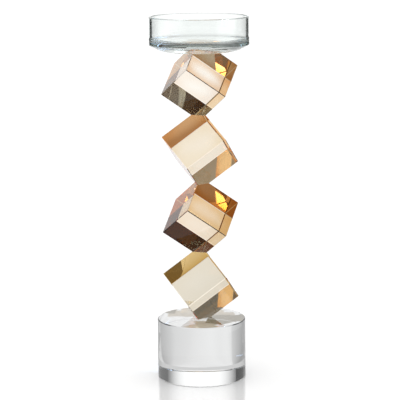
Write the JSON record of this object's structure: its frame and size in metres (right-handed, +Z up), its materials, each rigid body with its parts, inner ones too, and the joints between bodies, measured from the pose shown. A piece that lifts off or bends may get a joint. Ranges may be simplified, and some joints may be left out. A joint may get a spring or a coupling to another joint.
{
  "type": "crystal candle holder",
  "caption": "Tall candle holder: amber crystal cubes stacked corner to corner on a clear crystal drum, under a round glass dish for a pillar candle.",
  "frame": {"origin": "middle of the drum's underside, on the table", "axes": "+Z up along the stack's axis; -Y is the front, where the top cube shows one upright corner left of centre"},
  "size_m": [0.104, 0.104, 0.3822],
  "materials": {
    "clear_crystal": "polished",
    "amber_crystal": "polished",
    "dish_glass": "polished",
    "clear_adhesive": "clear cured resin"
  },
  "bodies": {
    "root": {"base_drum": "clear_crystal", "bond_drum_to_cube_1": "clear_adhesive", "crystal_cube_1": "amber_crystal", "bond_cube_1_to_cube_2": "clear_adhesive", "crystal_cube_2": "amber_crystal", "bond_cube_2_to_cube_3": "clear_adhesive", "crystal_cube_3": "amber_crystal", "bond_cube_3_to_cube_4": "clear_adhesive", "crystal_cube_4": "amber_crystal", "bond_cube_4_to_dish": "clear_adhesive", "candle_dish": "dish_glass"}
  },
  "joints": []
}
